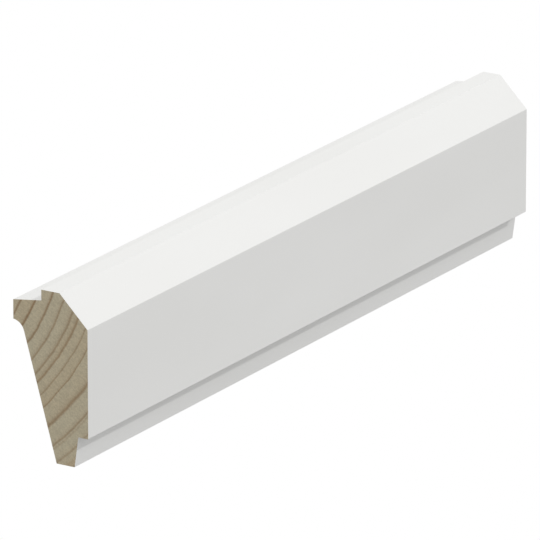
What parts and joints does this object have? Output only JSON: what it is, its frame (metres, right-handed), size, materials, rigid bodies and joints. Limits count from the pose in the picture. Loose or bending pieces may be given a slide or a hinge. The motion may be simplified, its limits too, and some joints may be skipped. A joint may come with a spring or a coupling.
{
  "type": "shadow gap moulding",
  "caption": "Straight length of white-painted softwood moulding with a bevelled front, a sloping back and a shadow rebate beside each bearing face, for the line between wall and ceiling.",
  "frame": {"origin": "middle of the lip's upright face, the face that bears on the wall, at half the moulding's length", "axes": "+X from the wall out to the front face, +Y along the moulding, +Z from the toe to the step, as the piece is shown; under a ceiling it is turned over"},
  "size_m": [0.021, 0.205, 0.043],
  "materials": {
    "white_painted_pine": "low-sheen white paint on the front, bevel, step and rebates; bare planed pine on the back and the bearing faces, bare sawn end grain"
  },
  "bodies": {
    "root": {"moulding": "white_painted_pine"}
  },
  "joints": []
}
